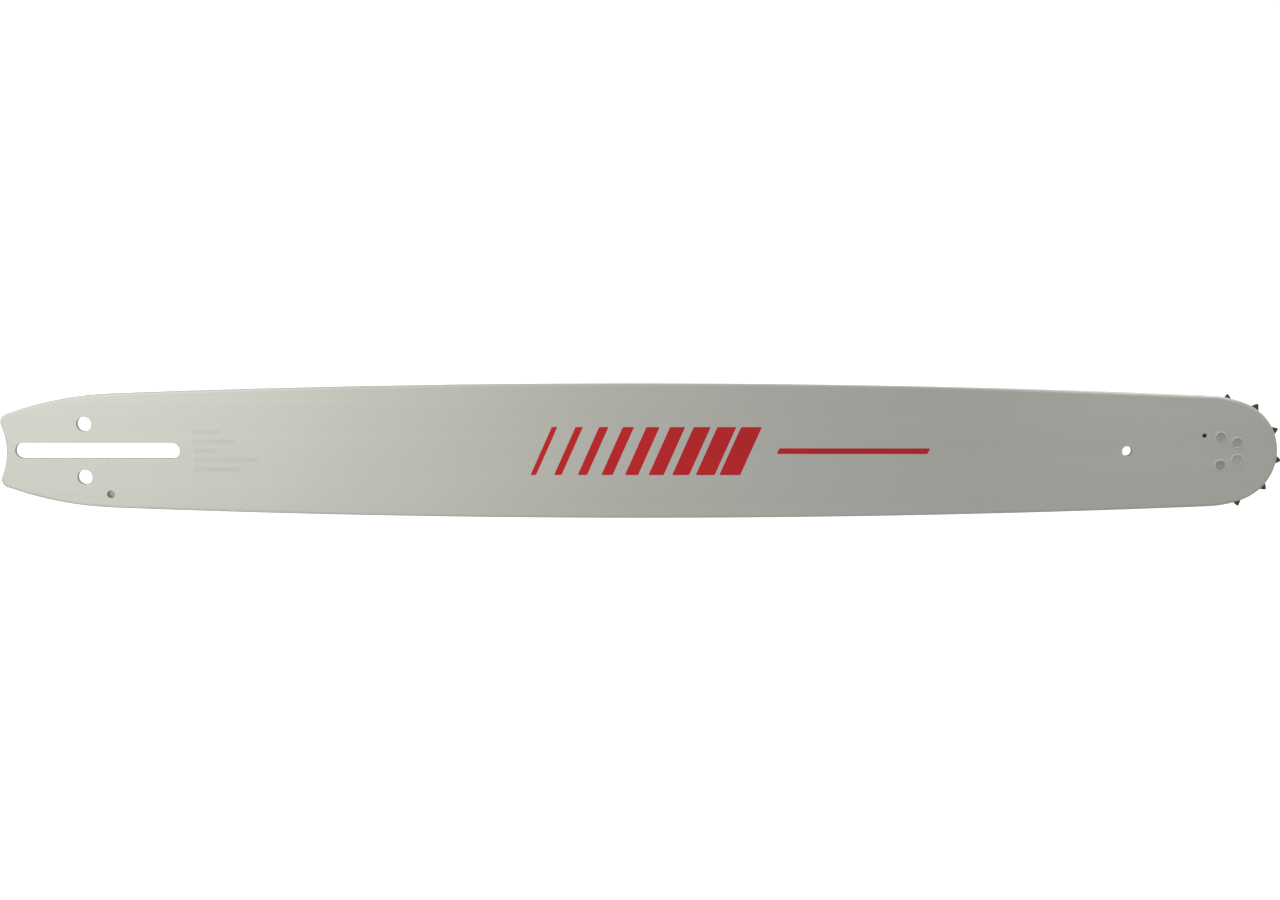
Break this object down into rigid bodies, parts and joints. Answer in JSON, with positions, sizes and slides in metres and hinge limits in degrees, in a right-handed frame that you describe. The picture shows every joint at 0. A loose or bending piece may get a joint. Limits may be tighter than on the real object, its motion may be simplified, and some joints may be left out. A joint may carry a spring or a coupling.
{
  "type": "chainsaw guide bar",
  "caption": "Long flat laminated steel guide bar with a chain groove round its edge, a toothed sprocket turning in its round nose, and a stud slot at its tail.",
  "frame": {"origin": "middle of the stud slot, on the back face", "axes": "+X along the bar towards the nose, +Y across the bar, +Z out of the front face"},
  "size_m": [0.7133, 0.0752, 0.0046],
  "materials": {
    "painted_plate": "satin",
    "core_steel": "satin",
    "sprocket_steel": "satin",
    "bearing_steel": "polished",
    "rivet_steel": "satin"
  },
  "bodies": {
    "bar": {"front_side_plate": "painted_plate", "back_side_plate": "painted_plate", "core_plate": "core_steel", "bearing_race": "bearing_steel", "nose_rivet_1": "rivet_steel", "nose_rivet_2": "rivet_steel", "nose_rivet_3": "rivet_steel", "nose_rivet_4": "rivet_steel"},
    "sprocket": {"nose_sprocket": "sprocket_steel"},
    "roller_set": {"roller_01": "bearing_steel", "roller_02": "bearing_steel", "roller_03": "bearing_steel", "roller_04": "bearing_steel", "roller_05": "bearing_steel", "roller_06": "bearing_steel", "roller_07": "bearing_steel", "roller_08": "bearing_steel", "roller_09": "bearing_steel", "roller_10": "bearing_steel", "roller_11": "bearing_steel", "roller_12": "bearing_steel", "roller_13": "bearing_steel", "roller_14": "bearing_steel", "roller_15": "bearing_steel", "roller_16": "bearing_steel", "roller_17": "bearing_steel", "roller_18": "bearing_steel", "roller_19": "bearing_steel", "roller_20": "bearing_steel", "roller_21": "bearing_steel", "roller_22": "bearing_steel", "roller_23": "bearing_steel", "roller_24": "bearing_steel", "roller_25": "bearing_steel", "roller_26": "bearing_steel", "roller_27": "bearing_steel"}
  },
  "joints": [
    {"name": "sprocket_spin", "type": "hinge", "parent": "bar", "child": "sprocket", "pos_m": [0.6281, 0, 0.0023], "axis": [0, 0, 1], "continuous": true},
    {"name": "roller_orbit", "type": "hinge", "parent": "bar", "child": "roller_set", "pos_m": [0.6281, 0, 0.0023], "axis": [0, 0, 1], "continuous": true}
  ],
  "couplings": [
    {"joint": "roller_orbit", "follows": "sprocket_spin", "ratio": 0.55826}
  ]
}
